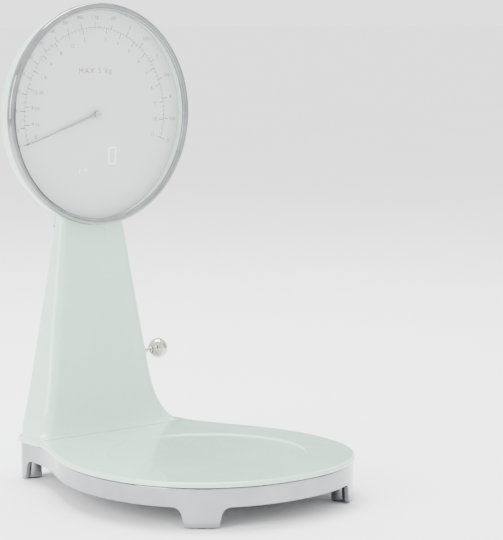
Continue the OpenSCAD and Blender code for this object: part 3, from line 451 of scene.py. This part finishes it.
# ---------- platter ----------
def platter():
    """The platter: a closed line round its rim is carried down over a rounded edge to the underside, and
    inwards over the top until it becomes the seat's circle, then down a soft step to the seat's floor."""
    rim = outline + outward * plate_over
    front = rim[rim[:, 1] < seam_y]
    order = np.argsort(np.unwrap(np.arctan2(front[:, 0], -(front[:, 1] - seat_y))))
    front = front[order]
    line = np.concatenate([front, np.linspace(front[-1], front[0], 200)[1:-1]])
    line[:, 1] = np.minimum(line[:, 1], seam_y)
    line = densified(np.concatenate([line, line[:1]]), 1.1 * MM)[:-1]
    wide = np.concatenate([line[-2:], line, line[:2]])
    line = sum(wide[k:len(line) + k] for k in range(5)) / 5
    tangent = unit(np.roll(line, -1, 0) - np.roll(line, 1, 0))
    inward = np.stack([-tangent[:, 1], tangent[:, 0]], -1)
    off = np.clip((seam_y - line[:, 1]) / (5 * MM), 0, 1)[:, None]
    edge = (0.45 + (2.4 - 0.45) * off ** 0.7 * (3 - off) / 2) * MM
    centre = np.array([0, seat_y])
    ray = unit(line - centre)
    low, top = plate_low.z, plate_top
    rows = []

    def row(xy, z):
        rows.append(np.concatenate([xy, np.broadcast_to(z, (len(xy), 1))], -1))

    row(centre + ray * 0, low)
    row(centre + ray * seat_r * 0.6, low)
    row(centre + ray * seat_r * 1.1, low)
    row(line + inward * 1.6 * MM, low)
    row(line + inward * 0.4 * MM, low)
    row(line + inward * 0.1 * MM, low + 0.12 * MM)
    row(line, low + 0.4 * MM)
    for q in np.linspace(0, pi / 2, 9):
        row(line + inward * edge * (1 - cos(q)), top - edge * (1 - sin(q)))
    start = line + inward * edge
    ring = centre + ray * (seat_r + 1.2 * MM)
    for t in np.linspace(0, 1, 18)[1:]:
        row(start + (ring - start) * t, top)
    step = rounded([(seat_r + 1.1 * MM, top, 0), (seat_r + 0.35 * MM, top, 0.7 * MM),
        (seat_r - 0.35 * MM, top - seat_depth, 0.7 * MM), (seat_r - 1.2 * MM, top - seat_depth, 0)],
        6, False)
    for r, z in step:
        row(centre + ray * r, z)
    for t in np.linspace(1, 0, 12)[1:]:
        row(centre + ray * (seat_r - 1.2 * MM) * t, top - seat_depth)
    grid = np.stack(rows, 1)
    return np.concatenate([grid, grid[:1]])


make_piece("enamelled_platter", [platter()], enamel, "platform", ["platter"])


# ---------- column ----------
# Steps along each corner's arc, and points along each straight side.
ARC = 12
SIDE = 26


def sweep(z, rise, reach):
    """A quarter ellipse that leaves the platter's level flat and ends upright at the height rise above it."""
    u = np.clip(1 - (z - plate_top) / rise, 0, 1)
    return reach * (1 - np.sqrt(1 - u * u))


def column_sizes(z):
    """Half widths in front and behind, the front face's place, and the corner radii at the height z."""
    up = (z - plate_top) / (neck_z - plate_top)
    front_hw = foot_hw + (neck_hw - foot_hw) * up + sweep(z, side_rise, side_flare)
    back = foot_back_hw + (neck_back_hw - foot_back_hw) * up + sweep(z, foot_rise, back_flare)
    sill = front_foot_y - seam_y - seam_gap - 0.6 * MM
    y_front = front_foot_y + (front_neck_y - front_foot_y) * up - sweep(z, foot_rise, sill)
    deep = column_back - y_front
    r_front = min(front_round, 0.5 * deep)
    r_back = min(back_round, 0.36 * deep) + sweep(z, corner_rise, corner_r - back_round)
    return front_hw, back, y_front, column_back, r_front, r_back


def four_sided(front_hw, rear_hw, y_front, y_back, r_front, r_back, z, gap_hw):
    """One level of the column: four arcs with straight sides between them, the same count at every level.
    The rear side's points start and end at gap_hw, the edge of the rear opening."""
    arcs = rounded([(-front_hw, y_front, r_front), (front_hw, y_front, r_front),
        (rear_hw, y_back, r_back), (-rear_hw, y_back, r_back)], ARC).reshape(4, ARC + 1, 2)
    made = []
    for i in range(4):
        a, b = arcs[i][-1], arcs[(i + 1) % 4][0]
        t = np.linspace(0, 1, SIDE + 2)[1:-1, None]
        straight = a + (b - a) * t
        if i == 2:
            straight = np.stack([np.linspace(gap_hw, -gap_hw, SIDE), np.full(SIDE, y_back)], -1)
        made += [arcs[i], straight]
    line = np.concatenate(made + [made[0][:1]])
    return np.concatenate([line, np.full((len(line), 1), z)], -1)


def drum_underside(p):
    """Height of the round housing's underside above each point: the housing narrows towards its back."""
    back = (p[:, 1] - (housing_high.y - housing_crown) + housing_round).clip(0)
    r = drum_r - housing_round + np.sqrt(housing_round ** 2 - back ** 2)
    return head_z - np.sqrt((r + 0.1 * MM) ** 2 - p[:, 0] ** 2)


def from_slot(p):
    """For each point, the way in (Y, Z) to it from the nearest point of the slot's middle line."""
    y, z = p[..., 1] - slot_y, p[..., 2] - slot_z
    return np.stack([y, z - np.clip(z, -slot_half, slot_half)], -1)


def column():
    """The column's outer wall and its foot, level by level, with the rear opening and the lever's slot left
    out."""
    deck_front = seam_y + seam_gap
    side_at = abs(outline[:, 1] - deck_front).argmin()
    deck_hw = abs(outline[side_at, 0]) + plate_over
    rear_hw, rear_y, edge = back_hw + plate_over, back_y + plate_over, 2.4 * MM
    gap_levels = np.linspace(cover_low.z - cover_gap, cover_high.z + cover_gap, 9)
    gap_hws = [column_sizes(z)[1] - 4.2 * MM for z in gap_levels]
    rows = []

    def deck(d_front, d_side, d_back, z):
        rows.append(four_sided(deck_hw - d_side, rear_hw - d_side, deck_front + d_front, rear_y - d_back,
            0.8 * MM, corner_r + plate_over - d_side, z, 0.6 * rear_hw))

    deck(0.3 * MM, 0.5 * MM, 0.5 * MM, band_top)
    deck(0.0, 0.0, 0.0, band_top + 0.4 * MM)
    for q in np.linspace(0, pi / 2, 9):
        d = edge * (1 - cos(q))
        deck(min(d, 0.35 * MM), d, min(d, 1.8 * MM), plate_top - edge * (1 - sin(q)))
    down = np.sin(np.linspace(pi / 2, 0, 46))
    fine = np.arange(slot_z - 6.5 * MM, slot_z + 6.5 * MM, 0.45 * MM)
    upper = np.linspace(plate_top + side_rise, neck_z, 40)
    levels = np.concatenate([plate_top + side_rise * (1 - down), gap_levels, fine, upper])
    levels = np.unique(np.round(levels, 6))
    near_gap = np.min(abs(levels[:, None] - gap_levels[None, [0, -1]]), 1)
    levels = levels[(near_gap < 2e-6) | (near_gap > 0.25 * MM)]
    levels = levels[np.concatenate([[True], np.diff(levels) > 2e-5])]
    first = len(rows)
    for z in levels:
        sizes = column_sizes(z)
        gap = np.interp(z, gap_levels, gap_hws)
        if z < gap_levels[0]:
            gap = min(gap, 0.96 * (sizes[1] - sizes[5] * 1.2))
        rows.append(four_sided(*sizes, z, gap))
    end = four_sided(*column_sizes(neck_z + 14 * MM), 0, gap_hws[-1] - 2 * MM)
    end[:, 2] = drum_underside(end)
    start = rows[-1]
    for t in np.linspace(0, 1, 9)[1:]:
        rows.append(start + (end - start) * t)
    grid = np.stack(rows)
    keep = np.ones((len(rows) - 1, grid.shape[1] - 1), bool)
    rear_first = 2 * (ARC + 1 + SIDE) + ARC + 1
    z_mid = (grid[:-1, 0, 2] + grid[1:, 0, 2]) / 2
    open_rows = (z_mid > gap_levels[0]) & (z_mid < gap_levels[-1])
    open_rows[:first] = False
    open_rows[first + len(levels) - 1:] = False
    keep[open_rows, rear_first:rear_first + SIDE - 1] = False
    right = slice(ARC + 1 + SIDE + ARC, ARC + 1 + SIDE + ARC + 1 + SIDE + 2)
    side = grid[:, right]
    # The points near the slot's edge are moved onto it.
    past = from_slot(side)
    reach = np.linalg.norm(past, axis=-1)
    near = (abs(reach - slot_r) < 0.34 * MM) & (side[..., 0] > 0) & (side[..., 2] < slot_z + 8 * MM)
    push = np.where(near & (reach > 0), (slot_r - reach) / np.maximum(reach, 1e-9), 0)[..., None] * past
    side[..., 1:] += push
    inside = np.linalg.norm(from_slot(side), axis=-1) < slot_r + 0.02 * MM
    hole = inside[:-1, :-1] & inside[1:, :-1] & inside[:-1, 1:] & inside[1:, 1:]
    keep[:, right.start:right.stop - 1] &= ~hole
    return grid, keep


grid, keep = column()
shell = make_piece("enamelled_column", [grid], enamel, "base", ["column"], closed=False,
    keep=keep)
middle_y = 0.11
face_out = sum((p.center.x * p.normal.x + (p.center.y - middle_y) * p.normal.y) * p.area
    for p in shell.data.polygons)
if face_out < 0:
    shell.data.flip_normals()
thick = shell.modifiers.new("wall", "SOLIDIFY")
thick.thickness = shell_t
thick.offset = -1


# ---------- head ----------
def housing():
    """A drum with a well-rounded back edge and a slightly crowned back, hollow inside."""
    y0, back = housing_low.y, housing_high.y - housing_crown
    bend_r, bend_y = drum_r - housing_round, back - housing_round
    a = np.linspace(0, radians(84), 24)
    turn = np.stack([np.cos(a), np.sin(a)], -1)
    bend = (bend_r, bend_y) + housing_round * turn
    u = np.linspace(bend[-1, 0], 0, 14)[1:]
    dome = np.stack([u, back + housing_crown * (1 - (u / bend_r) ** 2).clip(0)], -1)
    lip = rounded([(drum_r - housing_wall, y0, 0), (drum_r, y0, 0.4 * MM), (drum_r, y0 + 2 * MM, 0)], 4, False)
    outer = np.concatenate([lip, densified(np.array([lip[-1], bend[0]]), 2 * MM)[1:], bend[1:], dome])
    inner_bend = (bend_r, bend_y) + (housing_round - housing_wall) * turn
    inner = np.concatenate([inner_bend, [[0, back - housing_wall]]])[::-1]
    return turned(loop(np.concatenate([outer, inner])), hub)


def bezel():
    """A ring with a rounded outer bead, a fine groove, and a polished slope down to the glass."""
    front, rest, deep = bezel_low.y, glass_low.y, bezel_high.y
    inner = head_r - bezel_w
    line = rounded([(head_r - 1.4 * MM, deep, 0), (head_r, deep, 0.15 * MM), (head_r, front, 1.5 * MM),
        (head_r - 3.3 * MM, front, 0.5 * MM), (head_r - 3.45 * MM, front + 0.5 * MM, 0.08 * MM),
        (head_r - 3.75 * MM, front + 0.5 * MM, 0.08 * MM), (head_r - 3.9 * MM, front + 0.15 * MM, 0.25 * MM),
        (inner + 0.4 * MM, front + 0.55 * MM, 0.35 * MM), (inner, rest, 0.05 * MM),
        (drum_r + 0.3 * MM, rest, 0)], 7)
    return turned(loop(line), hub)


def ball():
    """A ball on the rod's line, with a shallow groove round it and a short collar where the rod enters."""
    a = np.linspace(-pi / 2, pi / 2, 90)
    dip = 0.18 * MM * np.exp(-((np.degrees(a) + 52) / 2.0) ** 2)
    r = (ball_r - dip) * np.cos(a)
    h = (ball_r - dip) * np.sin(a)
    profile = np.stack([r, h], -1)
    collar = rounded([(0, -ball_r - 1.0 * MM, 0), (2.2 * MM, -ball_r - 1.0 * MM, 0.3 * MM),
        (2.5 * MM, -ball_r + 1.2 * MM, 0)], 4, False)
    body = profile[profile[:, 1] > -ball_r + 0.5 * MM]
    return turned(np.concatenate([collar, body]), ball_middle, lever_along, 96)


def cap():
    """A small turned cap over the pointer's hub, with a rounded rim and a dished middle."""
    y0, y1, r = cap_low.y, cap_high.y, cap_high.x
    dish = [(0, y0 + 0.35 * MM, 0), (r * 0.5, y0 + 0.3 * MM, 0.2 * MM), (r * 0.68, y0, 0.15 * MM),
        (r, y0, 0.5 * MM), (r, y1, 0), (0, y1, 0)]
    return turned(rounded(dish, 5, False), hub, steps=72)


def pointer():
    """A long taper with a ridge down its middle: its cross-section is carried from the tail to the tip,
    narrowing as it goes. A thin disc joins it to the arbor."""
    direction = np.array([cos(radians(zero_at)), 0, sin(radians(zero_at))])
    across = np.array([-direction[2], 0, direction[0]])
    length = head_r - bezel_w - 10.3 * MM
    t = np.linspace(0, 1, 30)
    half = (1.35 * (1 - t) + 0.32 * t) * MM
    low, high = needle_low.y, needle_high.y
    section = [(-1, high), (-1, high - 0.25 * MM), (0, low), (1, high - 0.25 * MM), (1, high), (-1, high)]
    columns = [direction * (t[:, None] * length) + across * (half * w)[:, None] + np.array([0, y, head_z])
        for w, y in section]
    sheet = np.stack(columns, 1)
    middle = np.broadcast_to(sheet.mean(1, keepdims=True), sheet.shape).copy()
    middle[:, :, 1] = (low + high) / 2
    ends = np.stack([middle[0], sheet[0]]), np.stack([sheet[-1], middle[-1]])
    disc = rounded([(0.75 * MM, high, 0), (3.1 * MM, high, 0.1 * MM), (3.1 * MM, low + 0.1 * MM, 0.2 * MM),
        (0.75 * MM, low + 0.1 * MM, 0)], 3)
    return [sheet, *ends, turned(loop(disc), hub, steps=64)]


make_piece("enamelled_dial_housing", [housing()], enamel, "base", ["dial_housing"])
make_piece("chrome_bezel_ring", [bezel()], chrome_bezel, "base", ["bezel"], sharp=50)
make_piece("lever_ball", [ball()], nickel, "lever", ["lever_knob"])
make_piece("pointer_hub_cap", [cap()], nickel, "needle", ["pointer_cap"])
make_piece("tapered_pointer", pointer(), chrome_bezel, "needle", ["pointer"], sharp=20)


# ---------- dial printing ----------
def scale_angle(kilos):
    """Direction of a weight on the dial, anticlockwise from the right, in degrees."""
    kilos = np.asarray(kilos, float)
    below, above = zero_at + (kilo_at - zero_at) * kilos, kilo_at + (full_at - kilo_at) * (kilos - 1) / 4
    return np.where(kilos <= 1, below, above)


def dial_point(r, degrees, y):
    """Points at the radius r and the given directions, on the plane y."""
    a = np.radians(degrees)
    r, a, y = np.broadcast_arrays(r, a, y)
    return np.stack([r * np.cos(a), y, head_z + r * np.sin(a)], -1)


def tick_sheets(kilos, r0, r1, width):
    """One thin upright quad for each weight, from the radius r0 to r1, facing the front."""
    a = scale_angle(kilos)
    spread = np.degrees(width / 2 / arc_r)
    corners = [dial_point(r, a + s * spread, print_y) for r in (r0, r1) for s in (1, -1)]
    return list(np.stack(corners, 1).reshape(-1, 2, 2, 3))


def printed():
    """The arc and the ticks: kilograms outside it, pounds and ounces inside it."""
    a = np.linspace(full_at, zero_at, 240)
    half = 0.15 * MM
    sheets = [np.stack([dial_point(arc_r - half, a, print_y), dial_point(arc_r + half, a, print_y)])]
    fine, bold = 0.34 * MM, 0.6 * MM
    low = np.arange(0, 1.0001, 0.05)
    high = np.arange(1.1, 5.0001, 0.1)
    major = np.concatenate([np.arange(0, 1.0001, 0.1), np.arange(1.5, 5.0001, 0.5)])
    sheets += tick_sheets(low, arc_r, 0.803 * head_r, fine)
    sheets += tick_sheets(high, arc_r, 0.797 * head_r, fine)
    sheets += tick_sheets(major, arc_r, 0.83 * head_r, bold)
    ounce = 1 / pounds_in_kilo / 16
    sheets += tick_sheets(np.arange(0, 36) * ounce, 0.757 * head_r, arc_r, fine)
    sheets += tick_sheets(np.arange(36, 177, 4) * ounce, 0.757 * head_r, arc_r, fine)
    sheets += tick_sheets(np.arange(0, 36, 4) * ounce, 0.727 * head_r, arc_r, bold)
    sheets += tick_sheets(np.arange(48, 177, 16) * ounce, 0.727 * head_r, arc_r, bold)
    return sheets


def lettering(labels):
    """Words as one mesh: each is filled as text, centred on its place, and set upright on the dial."""
    curve = bpy.data.curves.new("label", "FONT")
    curve.align_x, curve.align_y, curve.resolution_u = "CENTER", "CENTER", 4
    holder = bpy.data.objects.new("label", curve)
    bpy.context.scene.collection.objects.link(holder)
    verts, faces = [], []
    for word, size, x, z, space in labels:
        curve.body, curve.size, curve.space_character = word, size, space
        bpy.context.view_layer.update()
        flat = holder.evaluated_get(bpy.context.evaluated_depsgraph_get()).to_mesh()
        co = np.empty(len(flat.vertices) * 3)
        flat.vertices.foreach_get("co", co)
        co = co.reshape(-1, 3)
        faces += [[i + len(verts) for i in p.vertices] for p in flat.polygons]
        verts += np.stack([co[:, 0] + x, np.full(len(co), print_y), co[:, 1] + z], -1).tolist()
    bpy.data.objects.remove(holder)
    return verts, faces


def dial_labels():
    """The numbers: kilograms outside the arc, pounds and ounces inside it, and the capacity above the
    hub."""
    made = []

    def put(kilos, word, r, size):
        p = dial_point(r * head_r, float(scale_angle(kilos)), print_y)
        made.append((word, size, p[0], p[2], 1.0))

    outer, small, inner = 4.2 * MM, 3.8 * MM, 4.4 * MM
    put(0, "0", 0.875, outer)
    put(0.1, "100 g", 0.895, small)
    for n in range(2, 10):
        put(n / 10, str(n * 100), 0.885, small)
    put(1, "1 kg", 0.875, outer)
    for n in (2, 3, 4, 5):
        put(n - 0.5, "500", 0.885, small)
        put(n, str(n), 0.87, outer * 1.1)
    pound = 1 / pounds_in_kilo
    put(0.02, "0", 0.685, inner)
    for n, word in ((4, "4 oz"), (8, "8 oz"), (12, "12 oz"), (20, "4"), (24, "8"), (28, "12")):
        put(n * pound / 16, word, 0.665, inner)
    put(pound, "1 lb", 0.66, inner)
    for n in range(2, 12):
        put(n * pound, str(n), 0.68, inner)
    made.append(("MAX 5 kg", 6 * MM, 0, head_z + 0.39 * head_r, 1.35))
    return made


def flat_piece(name, verts, faces, material, slot):
    """A flat printed shape that rides on the base."""
    mesh = bpy.data.meshes.new(name)
    mesh.from_pydata(verts, [], faces)
    mesh.materials.append(material)
    piece = bpy.data.objects.new(name, mesh)
    bpy.context.scene.collection.objects.link(piece)
    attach(piece, "base")
    return piece


def segments():
    """Six lit bars of a seven-segment nought, each a long hexagon, leaning a little."""
    w, h, t, x0, z0 = 3.3 * MM, 6.4 * MM, 0.75 * MM, 16 * MM, head_z - 33.4 * MM
    gap = 0.35 * MM
    ends = [((-w, h), (w, h)), ((-w, -h), (w, -h)), ((-w, 0), (-w, h)), ((w, 0), (w, h)),
        ((-w, -h), (-w, 0)), ((w, -h), (w, 0))]
    verts, faces = [], []
    for a, b in ends:
        a, b = np.array(a), np.array(b)
        d = unit(b - a)
        n = np.array([-d[1], d[0]]) * t / 2
        a, b = a + d * gap, b - d * gap
        bar = np.array([a, a + d * t / 2 + n, b - d * t / 2 + n, b, b - d * t / 2 - n, a + d * t / 2 - n])
        faces.append(list(range(len(verts), len(verts) + 6)))
        verts += [(x0 + x + 0.04 * z, print_y, z0 + z) for x, z in bar]
    return verts, faces


make_piece("dial_ticks", printed(), ink, "base", closed=False)
flat_piece("dial_numbers", *lettering(dial_labels()), ink, "dial_white")
flat_piece("display_nought", *segments(), led_white, "dial_white")
flat_piece("display_units", *lettering([("g", 3.6 * MM, -16 * MM, head_z - 43.6 * MM, 1),
    ("ml", 3.6 * MM, -10.5 * MM, head_z - 43.6 * MM, 1)]), led_white, "dial_white")


# ---------- floor, light and camera ----------
def card(name, azimuth, distance, width, height, lift, shade):
    """An upright card round the object that only polished surfaces see. Azimuth 0 is in front, 90 to the
    right."""
    a = radians(azimuth)
    middle = np.array([sin(a) * distance, -cos(a) * distance, lift])
    side = np.array([cos(a), sin(a), 0]) * width / 2
    rise = np.array([0, 0, height / 2])
    corners = [middle - side - rise, middle + side - rise, middle + side + rise, middle - side + rise]
    mesh = bpy.data.meshes.new(name)
    mesh.from_pydata([tuple(c) for c in corners], [], [(0, 1, 2, 3)])
    material = bpy.data.materials.new(name)
    material.use_nodes = True
    tree = material.node_tree
    tree.nodes.clear()
    glow = add(tree, "Emission", {"Color": linear("FFFFFF"), "Strength": shade})
    tree.links.new(glow.outputs[0], add(tree, "OutputMaterial").inputs["Surface"])
    mesh.materials.append(material)
    made = bpy.data.objects.new(name, mesh)
    bpy.context.scene.collection.objects.link(made)
    made.visible_camera = made.visible_diffuse = made.visible_shadow = made.visible_transmission = False


def softbox(name, place, target, size, power):
    """A soft area light aimed at a point."""
    lamp = bpy.data.lights.new(name, "AREA")
    lamp.shape, lamp.size, lamp.size_y, lamp.energy = "RECTANGLE", size[0], size[1], power
    made = bpy.data.objects.new(name, lamp)
    bpy.context.scene.collection.objects.link(made)
    made.location = place
    aim = np.array(target) - np.array(place)
    made.rotation_euler = Vector(aim).to_track_quat("-Z", "Y").to_euler()


def studio():
    """White floor, a bright even surround, and softboxes above and to the left."""
    mesh = bpy.data.meshes.new("floor")
    reach = 30
    corners = [(-reach, -reach, 0), (reach, -reach, 0), (reach, reach, 0), (-reach, reach, 0)]
    mesh.from_pydata(corners, [], [(0, 1, 2, 3)])
    mesh.materials.append(finish("white_studio_paper", ("F6F6F7", "F9F9FA"), 300, (0.85, 0.95)))
    floor = bpy.data.objects.new("floor", mesh)
    bpy.context.scene.collection.objects.link(floor)
    world = bpy.data.worlds.new("studio")
    bpy.context.scene.world = world
    world.use_nodes = True
    world.node_tree.nodes["Background"].inputs["Color"].default_value = linear("FCFCFD")
    world.node_tree.nodes["Background"].inputs["Strength"].default_value = 2.4
    softbox("top_softbox", (0.25, 0.55, 1.7), (0, 0, 0.1), (1.1, 1.1), 75)
    softbox("left_softbox", (-1.7, -0.1, 0.7), (0, 0, 0.15), (0.9, 1.1), 40)
    card("card_behind_camera", -41, 3.0, 0.8, 3.2, 1.0, 0.10)
    card("card_left", -93, 3.0, 1.3, 3.2, 1.0, 0.35)
    card("card_right", 62, 3.0, 0.9, 3.2, 1.0, 0.30)
    card("card_far", 140, 3.0, 1.4, 3.2, 1.0, 0.12)
    card("card_far_left", -215, 3.0, 0.8, 3.2, 1.0, 0.1)


def camera():
    """Eye a little above the dial's foot, to the left of straight ahead, on a long lens."""
    data = bpy.data.cameras.new("camera")
    data.lens = 148.44
    data.sensor_width = 36
    data.clip_end = 100
    made = bpy.data.objects.new("camera", data)
    made.location = (-1.04977, seat_y - 1.2846, 0.36964)
    made.rotation_euler = (radians(90 - 6.77), 0, radians(-40.41))
    bpy.context.scene.collection.objects.link(made)
    bpy.context.scene.camera = made


studio()
camera()
